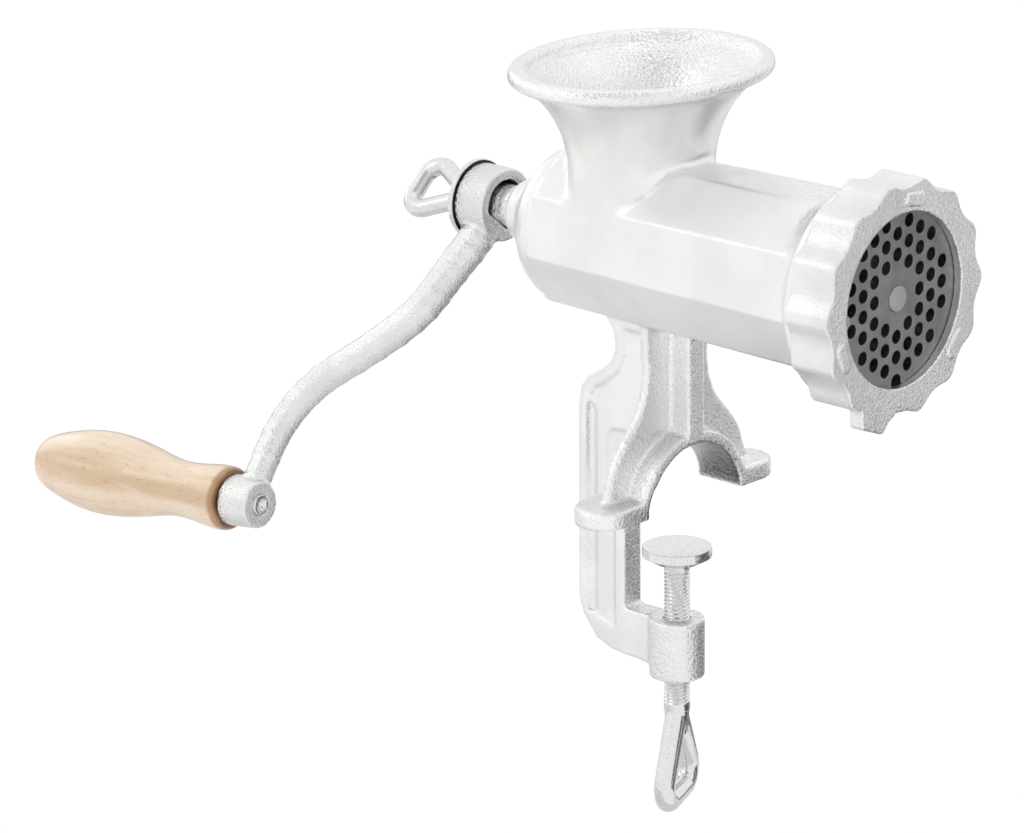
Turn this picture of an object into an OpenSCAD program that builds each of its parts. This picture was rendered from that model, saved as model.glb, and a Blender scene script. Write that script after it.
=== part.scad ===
// Manual meat grinder, No. 10 size, for a table edge. Millimetres.
// X runs along the barrel towards the plate, Z is up, the table top is z = 0
// and the clamp screw stands on x = 0, y = 0.

/* [Barrel] */
// Height of the barrel's axis above the table
axis_h = 97; // [92:0.5:104]
// Radius inside the barrel
bore_r = 26; // [24:0.25:27]
// Corner radius of the nine-sided barrel at its rear end
barrel_rear_r = 32.3; // [31:0.1:34]
// Corner radius of the nine-sided barrel at its front end
barrel_front_r = 34.2; // [33:0.1:36]
// Length of the nine-sided part behind the clamp screw
barrel_rear_len = 46.5; // [45:0.5:50]
// Length from the clamp screw to the ring nut's back
barrel_front_len = 87.3; // [84:0.1:90]
// Radius of the rear bearing boss
rear_boss_r = 11.8; // [11.2:0.1:13]
// Length of the domed rear end with its boss
rear_end_len = 29; // [27:0.5:32]

/* [Head] */
// Radius of the thread on the barrel's mouth
mouth_thread_r = 39; // [38.4:0.1:40]
// Pitch of that thread
mouth_pitch = 3; // [2.5:0.25:3.5]
// Length of that thread
mouth_len = 13.6; // [12.5:0.1:14.4]
// Radius of the plate
plate_r = 35; // [34:0.1:35.6]
// Thickness of the plate
plate_t = 6; // [5:0.5:7]
// Radius of the holes in the plate
plate_hole_r = 2.5; // [2:0.1:2.8]
// Distance between the holes in the plate
plate_pitch = 7.6; // [7:0.05:7.8]
// Distance between two rows of holes
plate_row = 6.32; // [6:0.02:6.6]
// How far the pattern of holes lies off the middle, away from the notch
plate_shift = 1; // [0:0.1:1.2]
// Radius of the ring nut's opening
ring_open_r = 32; // [31:0.25:33]
// Radius of the ring nut between its scallops
ring_r = 41.2; // [40.8:0.1:42]
// Height of the scallops above that
scallop_h = 2.8; // [2.3:0.1:3.4]
// Number of scallops, the lug's place counted
scallops = 14; // [12:1:16]
// Turn of the lug from straight down towards the viewer, degrees
lug_turn = 21; // [0:1:30]
// Half the width of the lug's end
lug_half = 6.5; // [5:0.25:9]
// Height of the lug above the ring nut
lug_h = 7; // [5:0.25:9]
// Length of the ring nut
ring_len = 19; // [18:0.25:21]
// Thickness of the ring nut's lip
ring_lip = 3.5; // [3:0.1:4.2]
// Radius of the knife
knife_r = 32.5; // [30:0.5:33.5]
// Thickness of the knife
knife_t = 7; // [6:0.25:8]
// Depth of the plate's notch from its edge
plate_notch = 4.3; // [3:0.1:5]
// Radius of the stud's round nose
stud_r = 4.7; // [4:0.1:5.2]

/* [Feed screw] */
// Clearance between the flight and the bore
flight_gap = 0.5; // [0.4:0.1:1]
// Radius of the feed screw's core
core_r = 12; // [10.5:0.25:14]
// Turns of the flight
flight_turns = 3.5; // [3:0.5:4]
// Radius of the bearing journal
journal_r = 8.6; // [8:0.1:9]
// Distance of the tail's flat from the axis
tail_flat = 7; // [6:0.1:7.4]

/* [Hopper] */
// How far behind the clamp screw the hopper stands
hopper_x = 17.4; // [15:0.2:19]
// Mean outside radius of the hopper's oval neck
neck_r = 27.3; // [26:0.1:28.5]
// Width of the oval hopper along the barrel, as a share of its mean width
oval_along = 0.9; // [0.85:0.01:1]
// Width of the oval hopper across the barrel, as a share of its mean width
oval_across = 1.1; // [1:0.01:1.14]
// Wall thickness of the hopper
hopper_wall = 4; // [3.5:0.25:5]
// Height of the neck's straight part above the barrel's axis
neck_h = 27; // [25:0.5:30]
// Radius of the trumpet curve
flare_r = 43; // [41:0.5:46]
// Height of the trumpet
flare_h = 36; // [34:0.5:37]
// Radius of the rolled rim
rim_r = 3.4; // [3:0.1:4]

/* [Stand and clamp frame] */
// Depth of the feet in front of the clamp screw
foot_front = 9.1; // [8:0.1:11]
// Depth of the feet behind the clamp screw
foot_rear = 12.4; // [11:0.1:14]
// Half the width over the feet
foot_half = 50; // [46:0.5:54]
// Thickness of the feet
foot_t = 7; // [6:0.25:8.5]
// Radius of the arch between the feet
arch_r = 25.8; // [24:0.1:27]
// How far the arch's centre lies below the table top
arch_drop = 3; // [2:0.25:4]
// Thickness of the web
web_t = 6; // [5:0.25:8]
// Thickness of the web's raised border
border_t = 10.4; // [9.5:0.2:12]
// Width of the web's raised border
web_border = 4.2; // [3:0.2:6]
// Thickness of the plate across the stand
leg_t = 3.6; // [3:0.2:5]
// Front face of that plate before the clamp screw
leg_front = 0.6; // [-1:0.1:2]
// Half the width of that plate under the barrel
leg_neck = 17; // [15:0.25:18]
// Half the width of that plate where it meets the feet
leg_half = 39.5; // [37:0.25:42]
// Thickness of the band round the arch
arch_band = 4.6; // [3.5:0.1:6]
// Front face of the rib before the plate
rib_front = 9.6; // [8:0.1:11]
// Thickness of that rib
rib_t = 9; // [7:0.2:10.4]
// Depth of the web's panel below its border
panel_sink = 1.2; // [0.8:0.1:1.6]
// Rear face of the clamp frame behind the clamp screw
spine_rear = 45; // [43:0.5:48]
// Front face of the clamp frame behind the clamp screw
spine_front = 22; // [20:0.5:25]
// Deepest opening of the clamp below the table top
clamp_open = 47; // [45:0.5:52]
// Height of the lower clamp arm
arm_h = 20; // [18:0.5:22]
// Radius of the threaded boss in the lower arm
clamp_boss_r = 10.4; // [9.5:0.1:12]

/* [Clamp screw] */
// Thickness of the board in the clamp
board_t = 18.7; // [15:0.1:22]
// Radius of the clamp screw's thread
clamp_thread_r = 4.9; // [4.5:0.1:5.5]
// Pitch of the clamp screw's thread
clamp_pitch = 1.5; // [1.25:0.25:1.75]
// Radius of the clamp pad
pad_r = 13; // [11:0.25:15]
// Thickness of the clamp pad
pad_t = 6; // [5.5:0.25:7]
// Radius of the bent rod of the loop
loop_rod_r = 4; // [3.4:0.1:4.4]
// Half the width of the loop between rod centres
loop_half = 14.5; // [12:0.25:16]
// Length of the loop between rod centres
loop_len = 34; // [30:0.5:38]
// Turn of the loop about the screw, degrees
loop_turn = -67; // [-90:1:-40]

/* [Crank] */
// Turn of the crank from straight down towards the viewer, degrees
crank_turn = 39; // [30:1:48]
// Radius of the hub
hub_r = 14; // [12.5:0.1:15.5]
// Radius of the hole in the hub
hub_hole_r = 9.7; // [9.2:0.1:10.2]
// Length of the hub
hub_len = 14.3; // [12.5:0.1:16]
// Distance from the crank's axis to the handle's axis
crank_len = 138.1; // [125:0.1:150]
// Sideways step of the S-bend
crank_step = 45; // [38:0.5:50]
// Radius of the round arm at the hub
arm_r = 7; // [6.2:0.1:7.2]
// Radius of the round arm at the handle
arm_end_r = 5.1; // [5:0.1:6.4]
// Lean of the handle outwards, degrees
handle_lean = 3.5; // [0:0.5:7]
// Radius of the handle boss
handle_boss_r = 9; // [8:0.1:10]
// How much wider the handle boss is on its inner side
boss_draft = 0.9; // [0.5:0.1:1.2]
// Radius of the crank washer
washer_r = 15.2; // [14:0.1:17]
// Thickness of the crank washer
washer_t = 2; // [1.6:0.1:2.6]
// Radius of the thumb screw's thread
thumb_thread_r = 4; // [3.5:0.1:4.5]
// Radius of the bent rod of the thumb screw's loop
thumb_rod_r = 3.5; // [3:0.1:3.8]
// Half the width of the thumb screw's loop between rod centres
thumb_half = 9.75; // [9:0.25:13]
// Length of the thumb screw's loop between rod centres
thumb_len = 26.3; // [23:0.1:29]
// Turn of the thumb screw's loop, degrees
thumb_turn = 43; // [20:1:60]

/* [Handle] */
// Length of the wooden handle
grip_len = 97.4; // [92:0.1:112]
// Largest radius of the handle
grip_r = 16.2; // [14:0.1:17]
// Radius of the handle's waist
waist_r = 10.6; // [9.2:0.1:11.5]
// Radius of the handle at its inner end
collar_r = 12.4; // [10.8:0.1:13]
// Radius of the handle's pin
pin_r = 4; // [3.5:0.1:4.5]

/* [Fits] */
// Radial clearance of pieces that turn in one another
run_gap = 0.05; // [0.03:0.01:0.08]
// Gap between faces that slide on one another
face_gap = 0.2; // [0.1:0.05:0.3]
// Gap between pieces that lie loosely in one another
loose_gap = 0.3; // [0.25:0.05:0.4]

/* [Hidden] */
$fn = 64;
// positions along the barrel's axis
ring_back = barrel_front_len + 0.2;
ring_face = ring_back + ring_len;
plate_front = ring_face - ring_lip - face_gap / 2;
plate_back = plate_front - plate_t;
knife_front = plate_back - face_gap;
knife_back = knife_front - knife_t;
mouth_end = barrel_front_len + mouth_len;
mouth_r = plate_r + loose_gap;
mouth_floor = knife_back - 3;
rear_wall = -barrel_rear_len - 11;
boss_end = -barrel_rear_len - rear_end_len;
thrust_t = 2;
bush_r = journal_r + 2;
bush_sink = 0.6;
core_back = rear_wall + thrust_t + face_gap;
// the crank's positions along the same axis
bush_end = boss_end + bush_sink;
journal_end = boss_end - 5;
hub_front = boss_end - 9.2;
hub_back = hub_front - hub_len;
tail_end = hub_back + 0.5;
washer_back = hub_back - washer_t;
boss_len = 13.7;
hub_mid = hub_front - hub_len / 2;
handle_mid = hub_mid - crank_step - 1.65;
// along the handle's own axis, from the middle of the handle boss
grip_front = -boss_len / 2 - face_gap * 2;
grip_back = grip_front - grip_len;
grip_washer_t = 1.6;
pin_head_h = 2.6;
// how deep the rivet's head sits in the grip's end
grip_sink = grip_washer_t + pin_head_h + 1;
// the clamp screw's positions down its axis
pad_top = -board_t;
pad_bottom = pad_top - pad_t;
arm_top = -clamp_open;
arm_bottom = arm_top - arm_h;
boss_bottom = arm_bottom - 2.5;
loop_top = boss_bottom - 14.5;
eps = 0.5;
// how much the ball at a joint of a rod stands out of the pieces it joins
knuckle = 0.2;

// turns a piece drawn along Z so that it runs along +X from x0, on the barrel's axis
module on_axis(x0) {
    translate([x0, 0, axis_h]) rotate([0, 90, 0]) children();
}

// the crank's own frame: the arm hangs straight down from the origin, X stays along the barrel
module on_crank() {
    translate([0, 0, axis_h]) rotate([-crank_turn, 0, 0]) children();
}

// a round bar along +X, in the crank's frame, from x0 to x1 at depth z
module bar_x(x0, x1, z, r) {
    translate([x0, 0, z]) rotate([0, 90, 0]) cylinder(r = r, h = x1 - x0);
}

// rounded triangular loop of bent rod: apex at the origin, hanging down -Z, in the YZ plane.
// The bends are arcs that the straight rods run into without a step.
module rod_loop(half, length, r) {
    bend = r * 1.65;
    cy = half - bend;
    cz = length - bend;
    d = norm([cy, cz]);
    lean = atan2(cy, cz) + asin(bend / d);
    run = sqrt(d * d - bend * bend);
    for (m = [0, 1]) mirror([0, m, 0]) {
        rotate([lean - 180, 0, 0]) cylinder(r = r, h = run);
        translate([0, cy, -cz]) rotate([90, 0, 90]) rotate([0, 0, -90])
            rotate_extrude(angle = 90 + lean) translate([bend, 0]) circle(r = r, $fn = 32);
    }
    translate([0, -cy, -length]) rotate([-90, 0, 0]) cylinder(r = r, h = 2 * cy);
    for (s = [-1, 1]) {
        translate([0, s * cy, -length]) sphere(r = r + knuckle);
        translate([0, s * run * sin(lean), -run * cos(lean)]) sphere(r = r + knuckle);
    }
}

module hopper_profile() {
    translate([0, -neck_h]) square([neck_r, neck_h + 1]);
    difference() {
        square([neck_r + flare_r * 0.45, flare_h]);
        translate([neck_r + flare_r, 0]) circle(r = flare_r, $fn = 72);
    }
}

module hopper_inside() {
    ri = neck_r - hopper_wall;
    translate([0, -neck_h - 1]) square([ri, neck_h + 2]);
    difference() {
        square([rim_mid() - rim_r - 0.3, flare_h + rim_r * 3]);
        translate([neck_r + flare_r, 0]) circle(r = flare_r + hopper_wall, $fn = 72);
    }
}

// radius on which the rolled rim's middle runs
function rim_mid() = neck_r + flare_r - sqrt(flare_r * flare_r - flare_h * flare_h) - 0.9;

module at_hopper() {
    translate([-hopper_x, 0, axis_h + neck_h]) scale([oval_along, oval_across, 1]) children();
}

module hopper_outer() {
    at_hopper() {
        rotate_extrude($fn = 72) hopper_profile();
        rotate_extrude($fn = 72) translate([rim_mid(), flare_h + rim_r * 0.4]) circle(r = rim_r, $fn = 20);
    }
}

// side view of the stand, x to the right and z up
module web_outline() {
    polygon([
        [leg_front - 1, axis_h - barrel_rear_r * 0.9], [leg_front - 1, arch_r - arch_drop + 1],
        [-foot_rear - 2, arch_r - arch_drop - 2], [-spine_front, 2], [-spine_front, arm_top],
        [0, arm_top], [0, arm_bottom], [-spine_front - 6, arm_bottom + 2],
        [-spine_rear + 9, arm_bottom + 5], [-spine_rear + 2.5, arm_bottom + 13], [-spine_rear, arm_top],
        [-spine_rear, 27], [-spine_rear + 1.5, 36], [-spine_rear + 5.5, 41], [-spine_rear + 11.5, 44.5],
        [-spine_rear + 16.5, 48.5], [-spine_rear + 18.5, 54], [-spine_rear + 17.4, 61],
        [-spine_rear + 12, axis_h - barrel_rear_r * 0.9]]);
}

// the sunk panel inside that outline
module web_panel() {
    b = web_border;
    panel_front = leg_front - leg_t - 2;
    polygon([
        [panel_front, axis_h - barrel_rear_r - 2], [panel_front, arch_r - arch_drop + arch_band + 2],
        [-foot_rear - 2, arch_r - arch_drop + 5], [-spine_front - b * 0.6, 6], [-spine_front - b, 1],
        [-spine_front - b, arm_top - 2], [-spine_front - b, arm_bottom + 11], [-spine_rear + b + 5, arm_bottom + 13],
        [-spine_rear + b, arm_top - 2], [-spine_rear + b, 27.5], [-spine_rear + b + 1.2, 33.5],
        [-spine_rear + b + 4.2, 37.2], [-spine_rear + b + 9.7, 40.6], [-spine_rear + b + 15.4, 45.2],
        [-spine_rear + b + 18.4, 53], [-spine_rear + b + 17.6, axis_h - barrel_rear_r - 2]]);
}

// a deeper flute beside the rear border, and a window with a rounded top
module web_flutes() {
    x0 = -spine_rear + web_border;
    xw = -spine_rear + 13;
    low = arm_bottom + 15;
    polygon([[x0, low], [x0, 27.5], [x0 + 1.2, 31], [x0 + 3.2, 29.5], [x0 + 4.3, 26], [x0 + 4.3, low]]);
    polygon([[xw, low], [xw, 16.5], [xw + 0.8, 19.5], [xw + 2.6, 21.7], [xw + 5, 22.5], [-foot_rear - 5, 22.5],
        [-foot_rear - 7, arch_r - arch_drop - 4], [-spine_front - web_border * 0.8, 6],
        [-spine_front - web_border - 1, 1], [-spine_front - web_border - 1, low]]);
}

// the same sunk form on both sides of the web
module both_faces(depth) {
    translate([0, 0, -eps]) linear_extrude(height = depth + eps) children();
    translate([0, 0, border_t - depth]) linear_extrude(height = depth + eps) children();
}

module web() {
    translate([0, border_t / 2, 0]) rotate([90, 0, 0]) difference() {
        linear_extrude(height = border_t) web_outline();
        both_faces(panel_sink) web_panel();
        both_faces((border_t - web_t) / 2) web_flutes();
    }
}

// front view of the plate across the stand, y to the right and z up
module leg_outline() {
    u = axis_h - barrel_rear_r;
    w = leg_half - leg_neck;
    top = axis_h - bore_r + 2;
    // shares of the spread and of the height under the barrel
    curve = [[0, 0.8], [0.04, 0.695], [0.15, 0.593], [0.26, 0.536], [0.4, 0.479], [0.54, 0.433], [0.67, 0.379],
        [0.81, 0.309], [0.92, 0.232], [0.99, 0.162]];
    for (m = [0, 1]) mirror([m, 0]) polygon(concat(
        [[-1, top], [leg_neck + 1.2, top], [leg_neck + 0.5, u * 0.93]],
        [for (c = curve) [leg_neck + w * c[0], u * c[1]]],
        [[leg_half, foot_t - 1], [leg_half, 1], [-1, 1]]));
}

// the stand: a plate across it, a rib before the plate, a band round the arch, and the feet
module legs() {
    depth = foot_front + foot_rear;
    flat = foot_half - depth / 2;
    rib_low = arch_r - arch_drop - 2;
    difference() {
        union() {
            translate([leg_front - leg_t, 0, 0]) rotate([90, 0, 90]) linear_extrude(height = leg_t) leg_outline();
            translate([leg_front - 1, -rib_t / 2, rib_low])
                cube([rib_front - leg_front + 1, rib_t, axis_h - bore_r - 1 - rib_low]);
            translate([-foot_rear, 0, 0]) rotate([90, 0, 90]) linear_extrude(height = depth) {
                intersection() {
                    translate([0, -arch_drop]) circle(r = arch_r + arch_band);
                    translate([-flat, 0]) square([2 * flat, foot_half]);
                }
                translate([-flat, 0]) square([2 * flat, foot_t]);
            }
            for (s = [-1, 1]) translate([(foot_front - foot_rear) / 2, s * flat, 0])
                cylinder(r = depth / 2, h = foot_t);
        }
        translate([-foot_rear - eps, 0, -arch_drop]) rotate([0, 90, 0])
            cylinder(r = arch_r, h = rib_front + foot_rear + 2 * eps);
    }
}

module rear_end() {
    z0 = -boss_end - barrel_rear_len;
    // drawn along Z from the boss's end towards the barrel
    on_axis(boss_end) rotate_extrude() polygon([
        [0, 0], [rear_boss_r, 0], [rear_boss_r, 5], [rear_boss_r + 0.6, 6],
        [barrel_rear_r * 0.5, z0 - 19], [barrel_rear_r * 0.7, z0 - 13.5], [barrel_rear_r * 0.85, z0 - 8.5],
        [barrel_rear_r * 0.925, z0 - 4], [barrel_rear_r * 0.94, z0 + 1], [0, z0 + 1]]);
}

module mouth_grooves() {
    n = floor((mouth_len - 3) / mouth_pitch);
    d = 0.9;
    for (i = [0 : n]) on_axis(barrel_front_len + 2.2 + i * mouth_pitch)
        rotate_extrude() polygon([[mouth_thread_r - d, -0.1], [mouth_thread_r + 1, -1.2],
            [mouth_thread_r + 1, 1.2], [mouth_thread_r - d, 0.1]]);
}

module body_casting() {
    color("silver") difference() {
        union() {
            on_axis(-barrel_rear_len)
                cylinder(r1 = barrel_rear_r, r2 = barrel_front_r, h = barrel_rear_len + barrel_front_len - 2, $fn = 9);
            rear_end();
            on_axis(barrel_front_len - 9) cylinder(r1 = barrel_front_r - 1, r2 = ring_r - 0.9, h = 6);
            on_axis(barrel_front_len - 3) cylinder(r = ring_r - 0.9, h = 3);
            on_axis(barrel_front_len - 1) cylinder(r = mouth_thread_r, h = mouth_len + 1);
            hopper_outer();
            web();
            legs();
            translate([0, 0, boss_bottom]) cylinder(r = clamp_boss_r, h = arm_h + 3);
        }
        mouth_grooves();
        at_hopper() rotate_extrude($fn = 72) hopper_inside();
        on_axis(-barrel_rear_len - 1) cylinder(r = bore_r, h = barrel_rear_len + mouth_floor + 1);
        on_axis(rear_wall) cylinder(r1 = bore_r - 10, r2 = bore_r, h = 10.01);
        on_axis(mouth_floor - 8) cylinder(r1 = bore_r - 0.1, r2 = mouth_r, h = 8);
        on_axis(mouth_floor) cylinder(r = mouth_r, h = mouth_end - mouth_floor + 1);
        on_axis(boss_end - 1) cylinder(r = bush_r, h = rear_wall - boss_end + 2);
        translate([0, 0, boss_bottom - 1]) cylinder(r = clamp_thread_r + run_gap, h = arm_h + 5);
        key_hole();
    }
}

// the key lies along X in the floor of the barrel's mouth
key_r = 2.4;
key_len = 8;
key_z = axis_h - mouth_r - 0.2;
module key_hole() {
    translate([mouth_end - key_len, 0, key_z]) rotate([0, 90, 0]) cylinder(r = key_r, h = key_len + 1);
}

module plate_key() {
    color("gray") translate([mouth_end - key_len, 0, key_z]) rotate([0, 90, 0])
        cylinder(r = key_r, h = key_len - 0.4);
}

module rear_bush() {
    color("goldenrod") difference() {
        on_axis(bush_end) cylinder(r = bush_r, h = rear_wall - bush_end);
        on_axis(bush_end - 1) cylinder(r = journal_r + run_gap, h = rear_wall - bush_end + 2);
    }
}

module thrust_washer() {
    color("ivory") on_axis(rear_wall) difference() {
        cylinder(r = bore_r - 11.5, h = thrust_t);
        translate([0, 0, -1]) cylinder(r = journal_r + loose_gap, h = thrust_t + 2);
    }
}

module feed_screw() {
    flight_r = bore_r - flight_gap;
    flight_back = -barrel_rear_len + 3;
    flight_len = knife_back - flight_back - 2;
    color("silver") {
        difference() {
            union() {
                on_axis(core_back) cylinder(r = core_r, h = knife_back - core_back);
                on_axis(journal_end) cylinder(r = journal_r, h = core_back - journal_end + 0.5);
                tail();
            }
            on_axis(tail_end - 1) cylinder(r = thumb_thread_r + run_gap, h = 22);
            on_axis(knife_back - 16) cylinder(r = stud_r, h = 17);
        }
        on_axis(flight_back) linear_extrude(height = flight_len, twist = -360 * flight_turns,
            slices = 20 * flight_turns, convexity = 6, $fn = 8)
            polygon([[core_r - 2, -4], [core_r + 3, -3], [flight_r - 0.6, -2.2], [flight_r, 0],
                [flight_r - 0.6, 2.2], [core_r + 3, 3], [core_r - 2, 4]]);
    }
}

// the flatted tail the crank sits on, with one flat towards the arm
module tail() {
    on_crank() difference() {
        bar_x(tail_end, journal_end + 1, 0, journal_r - 0.4);
        translate([tail_end - 1, -20, -tail_flat - 20]) cube([journal_end - tail_end + 1, 40, 20]);
    }
}

module knife_stud() {
    q = stud_r * 2.2;
    color("lightgray") {
        on_axis(knife_back - 14) cylinder(r = stud_r, h = 14.6);
        on_axis(knife_back + knife_t / 2) cube([q, q, knife_t - 0.4], center = true);
        on_axis(knife_front - 0.3) cylinder(r = stud_r, h = plate_front - knife_front + 0.7);
    }
}

module knife() {
    q = stud_r * 2.2;
    color("gray") on_axis(knife_back) linear_extrude(height = knife_t) difference() {
        union() {
            circle(r = q * 1.05);
            for (a = [45 : 90 : 315]) rotate(a)
                polygon([[q * 0.8, -5], [knife_r, -3.4], [knife_r, 1], [q * 0.8, 3.4]]);
        }
        square([q, q], center = true);
    }
}

module plate() {
    n = 4;
    color("dimgray") on_axis(plate_back) difference() {
        cylinder(r = plate_r, h = plate_t);
        translate([0, 0, -1]) cylinder(r = stud_r + run_gap, h = plate_t + 2);
        for (i = [-n : n], j = [-n : n]) {
            u = i + j / 2;
            d = norm([u, j * sqrt(3) / 2]);
            if (d > 1.2 && d < 3.62)
                translate([u * plate_pitch - plate_shift, j * plate_row, -1]) cylinder(r = plate_hole_r, h = plate_t + 2, $fn = 24);
        }
        // the notch runs in from the edge
        translate([plate_r - plate_notch, 0, -1]) cylinder(r = key_r + loose_gap, h = plate_t + 2);
        translate([plate_r - plate_notch, -key_r - loose_gap, -1])
            cube([plate_notch + 1, 2 * (key_r + loose_gap), plate_t + 2]);
    }
}

// the ring nut's waved outline, with the lug's place left plain
function wave(t) = ring_r + scallop_h * pow(0.5 + 0.5 * cos(t * scallops), 1.3);
function scallop(t) = let (place = 360 / scallops) t < place * 0.5 || t > 360 - place * 0.5 ? ring_r : wave(t);

module ring_nut() {
    depth = ring_len - ring_lip;
    lug_len = ring_len * 0.32;
    lug_foot = lug_half * 1.6;
    pad_w = 11;
    color("silver") on_axis(ring_back) difference() {
        union() {
            linear_extrude(height = ring_len) rotate(7.5 - lug_turn)
                polygon([for (t = [0 : 2.5 : 357.5]) scallop(t) * [cos(t), sin(t)]]);
            translate([0, 0, ring_len - lug_len]) linear_extrude(height = lug_len) rotate(-lug_turn)
                polygon([[ring_r - 4, -lug_foot - 1], [ring_r - 0.6, -lug_foot], [ring_r + 2, -lug_half * 1.25],
                    [ring_r + lug_h - 0.8, -lug_half], [ring_r + lug_h, -lug_half + 1.4],
                    [ring_r + lug_h, lug_half - 1.4], [ring_r + lug_h - 0.8, lug_half],
                    [ring_r + 2, lug_half * 1.25], [ring_r - 0.6, lug_foot], [ring_r - 4, lug_foot + 1]]);
            // three raised pads on the face, with round ends
            for (a = [52, 172, 292]) rotate([0, 0, a]) translate([ring_open_r + 4.5, 0, ring_len - 1]) {
                translate([-2.2, -pad_w / 2 + 2.2, 0]) cube([4.4, pad_w - 4.4, 1.8]);
                for (e = [-1, 1]) translate([0, e * (pad_w / 2 - 2.2), 0]) cylinder(r = 2.2, h = 1.8);
            }
        }
        translate([0, 0, -1]) cylinder(r = mouth_thread_r + run_gap, h = depth + 1);
        translate([0, 0, depth - 1]) cylinder(r = ring_open_r, h = ring_lip + 3);
    }
}

// the handle's own frame: its axis runs along X through the middle of the handle boss
module on_handle() {
    on_crank() translate([handle_mid, 0, -crank_len]) rotate([0, -handle_lean, 0]) children();
}

// one straight piece of the arm between two points [x, depth], a little thinner at its far end
module arm_piece(a, b, ra, rb) {
    d = b - a;
    translate([a[0], 0, -a[1]]) rotate([0, 180 - atan2(d[0], d[1]), 0]) cylinder(r1 = ra, r2 = rb, h = norm(d));
    translate([b[0], 0, -b[1]]) sphere(r = rb + knuckle);
}

// a point between b and c on the smooth curve through a, b, c and d
function between(a, b, c, d, t) = (2 * b + (c - a) * t + (2 * a - 5 * b + 4 * c - d) * t * t
    + (3 * b - a - 3 * c + d) * t * t * t) / 2;

module arm_bend() {
    u = hub_mid;
    v = handle_mid;
    w = u - v;
    n = crank_len;
    mark = [[u + 0.5, 0], [u + 0.3, 0.11 * n], [u - 0.05 * w, 0.18 * n], [u - 0.11 * w, 0.25 * n],
        [u - 0.18 * w, 0.335 * n], [u - 0.345 * w, 0.425 * n], [u - 0.62 * w, 0.53 * n], [u - 0.84 * w, 0.61 * n],
        [u - 0.98 * w, 0.7 * n], [u - 1.035 * w, 0.8 * n], [v - 0.012 * w, 0.92 * n], [v, n]];
    m = len(mark) - 1;
    path = [for (i = [0 : m - 1], t = [0, 0.5])
        between(mark[max(i - 1, 0)], mark[i], mark[i + 1], mark[min(i + 2, m)], t), mark[m]];
    last = len(path) - 1;
    for (i = [0 : last - 1]) arm_piece(path[i], path[i + 1], arm_r + (arm_end_r - arm_r) * i / last,
        arm_r + (arm_end_r - arm_r) * (i + 1) / last);
}

module crank_arm() {
    color("silver") difference() {
        union() {
            on_crank() bar_x(hub_back, hub_front, 0, hub_r);
            on_crank() arm_bend();
            on_handle() translate([-boss_len / 2, 0, 0]) rotate([0, 90, 0])
                cylinder(r1 = handle_boss_r + boss_draft, r2 = handle_boss_r, h = boss_len);
        }
        on_crank() difference() {
            bar_x(hub_back - 20, hub_front + 20, 0, hub_hole_r);
            translate([hub_back - 21, -20, -tail_flat - 20]) cube([hub_len + 42, 40, 20]);
        }
        on_handle() bar_x(-20, 20, 0, pin_r);
    }
}

module crank_washer() {
    color("lightgray") on_axis(washer_back) difference() {
        cylinder(r = washer_r, h = washer_t);
        translate([0, 0, -1]) cylinder(r = thumb_thread_r + loose_gap, h = washer_t + 2);
    }
}

module thumb_screw() {
    neck = 3;
    color("lightgray") {
        on_axis(washer_back - face_gap) cylinder(r = thumb_thread_r, h = 17);
        on_axis(washer_back - face_gap - neck) cylinder(r = thumb_rod_r * 2, h = neck);
        translate([washer_back - face_gap - neck + 1, 0, axis_h]) rotate([thumb_turn, 0, 0])
            rotate([0, 90, 0]) rod_loop(thumb_half, thumb_len, thumb_rod_r);
    }
}

module handle_grip() {
    // drawn along Z from the inner end outwards
    color("burlywood") on_handle() translate([grip_front, 0, 0]) rotate([0, -90, 0]) difference() {
        rotate_extrude() polygon([
            [0, 0], [collar_r - 0.8, 0], [collar_r, 1.5], [collar_r, grip_len * 0.07],
            [collar_r - 0.6, grip_len * 0.13], [waist_r, grip_len * 0.24], [waist_r + 0.4, grip_len * 0.31],
            [grip_r - 2.8, grip_len * 0.42], [grip_r - 1, grip_len * 0.52], [grip_r, grip_len * 0.62],
            [grip_r, grip_len * 0.7], [grip_r - 0.8, grip_len * 0.78], [grip_r - 3, grip_len * 0.87],
            [grip_r - 5.5, grip_len * 0.95], [grip_r - 7, grip_len], [0, grip_len]]);
        translate([0, 0, -1]) cylinder(r = pin_r + run_gap, h = grip_len + 2);
        translate([0, 0, grip_len - grip_sink]) cylinder(r = pin_r + 2.5, h = grip_sink + 1);
    }
}

module handle_pin() {
    head = grip_back + grip_sink - grip_washer_t - face_gap * 2;
    color("lightgray") on_handle() {
        difference() {
            bar_x(head, boss_len / 2 + 0.6, 0, pin_r);
            // the dimple of the rivet's punch
            translate([boss_len / 2 - 1, 0, 0]) rotate([0, 90, 0]) cylinder(r1 = 0.8, r2 = 2.2, h = 1.8);
        }
        bar_x(head - pin_head_h, head, 0, pin_r + 1.7);
    }
}

module handle_washer() {
    grip_seat = grip_back + grip_sink;
    color("gray") on_handle() difference() {
        bar_x(grip_seat - grip_washer_t - face_gap, grip_seat - face_gap, 0, pin_r + 1.9);
        bar_x(grip_back - 10, grip_back + 10, 0, pin_r + loose_gap);
    }
}

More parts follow.
